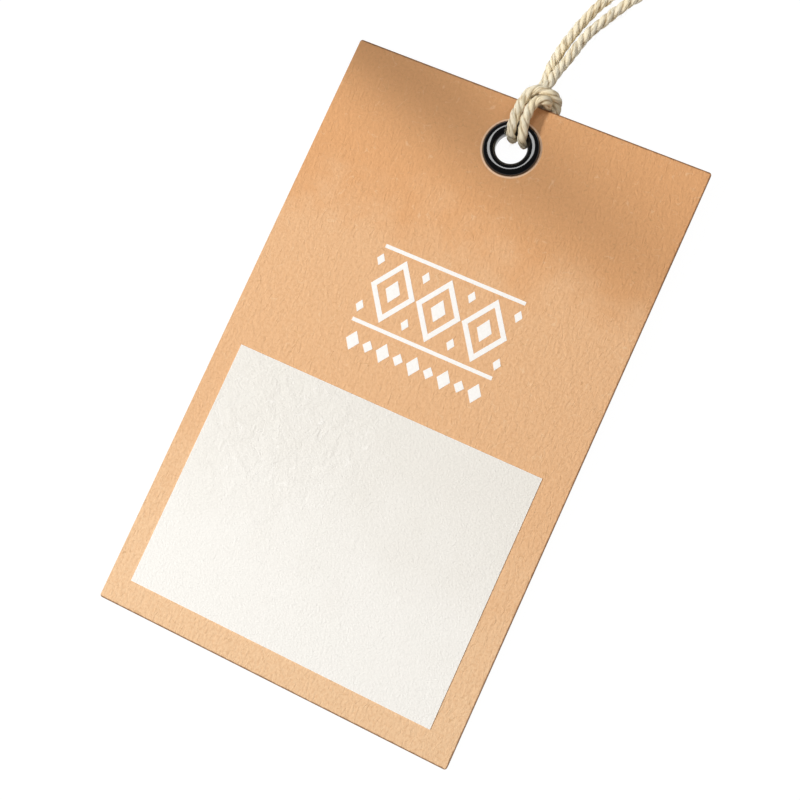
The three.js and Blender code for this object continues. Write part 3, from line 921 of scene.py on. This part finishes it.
bm = bmesh.new()
bmesh.ops.create_grid(bm, x_segments=1, y_segments=1, size=TABLE_HALF_WIDTH)
fall = Matrix.Rotation(-math.atan(TABLE_FALL), 3, "X")
bmesh.ops.rotate(bm, verts=bm.verts, cent=(0.0, 0.0, 0.0), matrix=fall)
bmesh.ops.translate(bm, verts=bm.verts, vec=(0.0, -CARD_HALF_LENGTH, -TABLE_GAP))
table = finished(bm, "table")
white, tree, shader = material("white table")
shader.inputs["Base Color"].default_value = (0.82, 0.82, 0.82, 1)
shader.inputs["Roughness"].default_value = 0.9
shader.inputs["Specular IOR Level"].default_value = 0.1
rays = node(tree, "LightPath")
seen = sum_of(tree, rays.outputs["Is Camera Ray"], rays.outputs["Is Glossy Ray"], "MAXIMUM")
seen = sum_of(tree, seen, rays.outputs["Is Transmission Ray"], "MAXIMUM")
glow = node(tree, "Emission", {"Color": (1.0, 1.0, 1.0, 1.0), "Strength": TABLE_GLOW})
share = product(tree, seen, TABLE_GLOW_SHARE)
mixed = node(tree, "MixShader", {0: share, 1: shader.outputs[0], 2: glow.outputs[0]})
tree.links.new(mixed.outputs[0], tree.nodes["Material Output"].inputs["Surface"])
dress(table, white)

world = bpy.data.worlds.new("studio")
world.use_nodes = True
tree = world.node_tree
sky = tree.nodes["Background"]
sky.inputs["Color"].default_value = (1.0, 1.0, 1.0, 1.0)
rays = node(tree, "LightPath")
seen = sum_of(tree, rays.outputs["Is Camera Ray"], rays.outputs["Is Transmission Ray"], "MAXIMUM")
height = node(tree, "SeparateXYZ", {0: node(tree, "TexCoord").outputs["Generated"]}).outputs[2]
low = product(tree, rays.outputs["Is Glossy Ray"], fade(tree, height, 0.15, 0.05))
seen = sum_of(tree, seen, low, "MAXIMUM")
tree.links.new(fade(tree, seen, 0.0, 1.0, SKY_LIGHT, 1.0), sky.inputs["Strength"])
bpy.context.scene.world = world


def soft_lamp(name, place, width, depth, watts, colour, mirrored):
    """A rectangular area lamp that faces the card's middle, with or without its mirror image."""
    light = bpy.data.lights.new(name, "AREA")
    light.shape = "RECTANGLE"
    light.size = width
    light.size_y = depth
    light.energy = watts
    light.color = colour
    lamp = bpy.data.objects.new(name, light)
    lamp.location = place
    lamp.rotation_euler = (-Vector(place)).to_track_quat("-Z", "Y").to_euler()
    bpy.context.scene.collection.objects.link(lamp)
    lamp.visible_glossy = mirrored


KEY_PLACE = Vector((-0.307, -0.101, 0.341))
KEY_SIZE = 0.06
soft_lamp("key", KEY_PLACE, KEY_SIZE, KEY_SIZE, 2.0, (1.0, 0.985, 0.96), False)
soft_lamp("overhead", (-0.078, 0.157, 0.40), 0.24, 0.10, 0.42, (1.0, 1.0, 1.0), True)
soft_lamp("fill", (0.17, -0.06, 0.28), 0.18, 0.18, 0.27, (1.0, 0.90, 0.80), False)

# A slim flag off to the left holds part of the key light back from a band across the upper card
FLAG_ENDS = ((-0.036, 0.050, 0.0), (0.036, 0.026, 0.0))
FLAG_WIDTHS = (0.0074, 0.001)
FLAG_SHARE = 0.18
bm = bmesh.new()
middles = [Vector(end).lerp(KEY_PLACE, FLAG_SHARE) for end in FLAG_ENDS]
aside = (middles[1] - middles[0]).cross(KEY_PLACE).normalized()
turns = ((0, -1), (0, 1), (1, 1), (1, -1))
bm.faces.new([bm.verts.new(middles[i] + aside * side * FLAG_WIDTHS[i] / 2) for i, side in turns])
flag = finished(bm, "flag", 1.0)
flag.visible_camera = False
flag.visible_glossy = False

lens = bpy.data.cameras.new("camera")
lens.lens = 54.0
lens.sensor_width = 36.0
lens.clip_start = 0.01
camera = bpy.data.objects.new("camera", lens)
turn = Matrix(CAMERA_TURN).transposed().to_4x4()
camera.matrix_world = Matrix.Translation(CAMERA_PLACE) @ turn
bpy.context.scene.collection.objects.link(camera)
bpy.context.scene.camera = camera
bpy.context.scene.view_settings.view_transform = "Standard"

bpy.context.view_layer.update()
